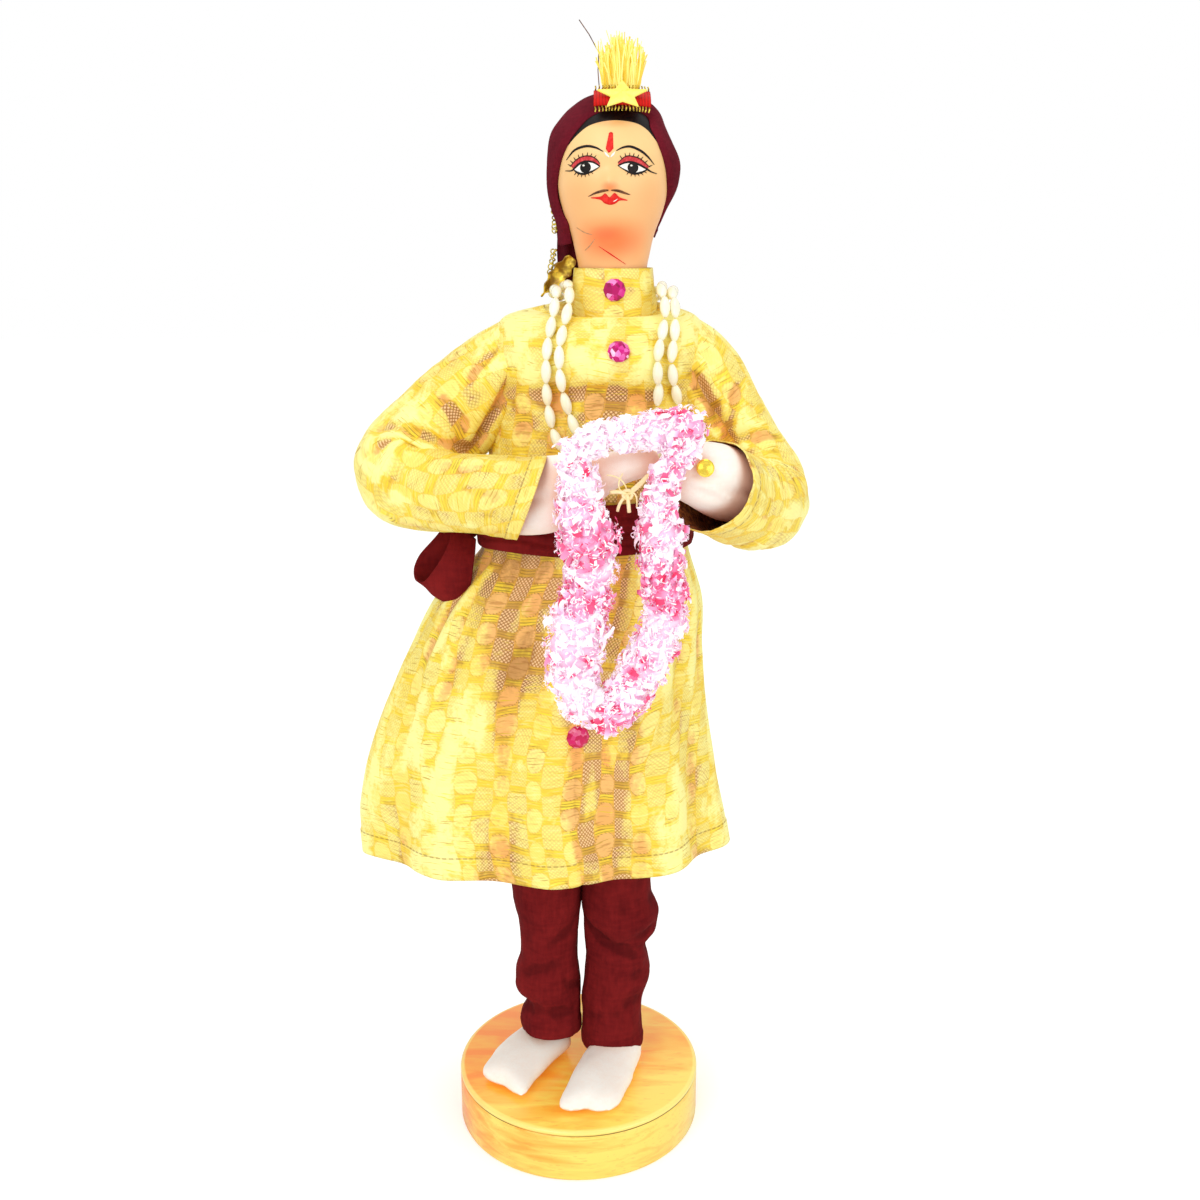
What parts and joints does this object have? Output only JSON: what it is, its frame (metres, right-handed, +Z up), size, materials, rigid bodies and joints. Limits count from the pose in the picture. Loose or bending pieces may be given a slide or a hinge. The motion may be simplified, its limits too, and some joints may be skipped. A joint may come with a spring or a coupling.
{
  "type": "folk costume doll",
  "caption": "Stuffed cloth folk costume doll in a gold brocade tunic, maroon trousers and wound turban with plume, holding a flower garland and standing on a round turned wooden base.",
  "frame": {"origin": "centre of the base's underside, on the table plane", "axes": "+Z up, and the doll faces -Y, so its own right hand is on the -X side"},
  "size_m": [0.1248, 0.0882, 0.3066],
  "materials": {
    "lacquered_wood": "turned wood under orange-yellow gloss lacquer",
    "bare_wood": "plain dowel, hidden inside",
    "steel_wire": "plain wire, hidden inside",
    "stuffed_cotton": "pale pinkish cotton skin, stuffed",
    "maroon_cotton": "matt maroon cotton",
    "turban_cotton": "matt plum-maroon cotton",
    "brocade": "gold brocade with woven discs and bars on a net ground",
    "painted_head": "moulded papier-mache with a painted face, satin",
    "gold_lace": "woven metallic edging",
    "red_ribbon": "ribbon with gold picot edges",
    "gold_card": "foil-faced card",
    "gold_tinsel": "cut metallic strands",
    "gold_sequin": "cupped metallic disc",
    "ruby_gem": "faceted flat-backed stone, glossy",
    "pearl_bead": "cream pearl coating",
    "flower_cloth": "shredded white and pink flower heads",
    "raffia": "pale thread"
  },
  "bodies": {
    "figure": {"base_disc": "lacquered_wood", "spine_dowel": "bare_wood", "right_leg_wire": "steel_wire", "left_leg_wire": "steel_wire", "arm_wire": "steel_wire", "right_foot": "stuffed_cotton", "left_foot": "stuffed_cotton", "right_leg": "stuffed_cotton", "left_leg": "stuffed_cotton", "torso": "stuffed_cotton", "right_arm": "stuffed_cotton", "left_arm": "stuffed_cotton", "right_hand": "stuffed_cotton", "left_hand": "stuffed_cotton", "right_trouser_leg": "maroon_cotton", "left_trouser_leg": "maroon_cotton", "waist_sash": "maroon_cotton", "sash_knot": "maroon_cotton", "turban": "turban_cotton", "tunic_bodice": "brocade", "collar": "brocade", "tunic_skirt": "brocade", "right_sleeve": "brocade", "left_sleeve": "brocade", "head": "painted_head", "turban_lace": "gold_lace", "plume_band": "red_ribbon", "plume_star": "gold_card", "plume_tuft": "gold_tinsel", "hand_sequin": "gold_sequin", "collar_gem": "ruby_gem", "chest_gem": "ruby_gem", "skirt_gem": "ruby_gem", "pearl_strand_outer": "pearl_bead", "pearl_strand_inner": "pearl_bead"},
    "garland": {"garland_flowers": "flower_cloth", "garland_tie": "raffia"},
    "turban_tail_end": {"turban_tail": "turban_cotton", "tail_lace": "gold_lace", "tail_leaf": "gold_lace"},
    "sash_end": {"sash_loop": "maroon_cotton"}
  },
  "joints": [
    {"name": "garland_swing", "type": "hinge", "parent": "figure", "child": "garland", "pos_m": [0.0126, -0.045, 0.2098], "axis": [-1, 0, 0], "range_deg": [0, 40]},
    {"name": "turban_tail_swing", "type": "hinge", "parent": "figure", "child": "turban_tail_end", "pos_m": [-0.0034, 0.0046, 0.2579], "axis": [0, 1, 0], "range_deg": [0, 22]},
    {"name": "sash_end_swing", "type": "hinge", "parent": "figure", "child": "sash_end", "pos_m": [-0.0325, 0.0057, 0.1771], "axis": [0, 1, 0], "range_deg": [0, 25]}
  ]
}
